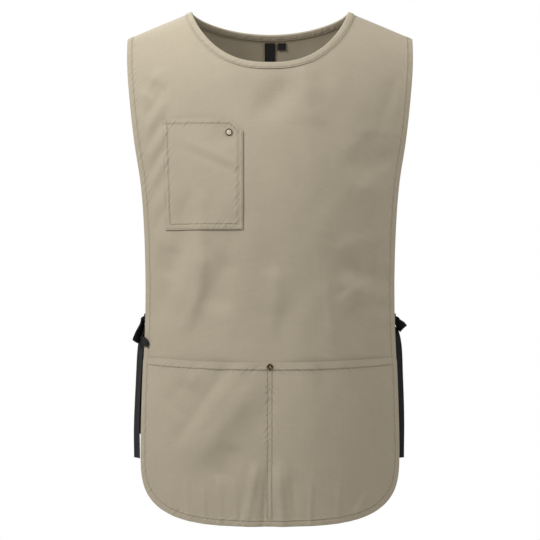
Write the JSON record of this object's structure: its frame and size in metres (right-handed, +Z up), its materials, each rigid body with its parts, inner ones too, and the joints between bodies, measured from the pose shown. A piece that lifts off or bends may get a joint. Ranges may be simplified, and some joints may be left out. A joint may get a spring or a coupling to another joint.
{
  "type": "cobbler apron",
  "caption": "Sleeveless work tabard with front and back panels, rounded hem, bound neck, chest pocket with a cut corner, wide divided lower pocket and black tape bows at the open sides.",
  "frame": {"origin": "midway between the wearer's two shoulders, halfway down the slope of the shoulder seams", "axes": "+Z up along the wearer's body, -Y out of the wearer's chest, +X to the wearer's left"},
  "size_m": [0.4212, 0.2391, 0.747],
  "materials": {
    "twill": "sand-coloured cotton twill, matt",
    "tie_tape": "black woven tape, matt",
    "label": "black woven label without lettering",
    "antique_brass": "darkened antique brass"
  },
  "bodies": {
    "root": {"front_panel": "twill", "back_panel": "twill", "neck_binding": "twill", "lower_pocket": "twill", "chest_pocket": "twill", "pocket_rivet": "antique_brass", "chest_rivet": "antique_brass", "neck_label": "label", "size_label": "label", "right_front_tape": "tie_tape", "right_back_tape": "tie_tape", "left_front_tape": "tie_tape", "left_back_tape": "tie_tape"}
  },
  "joints": []
}
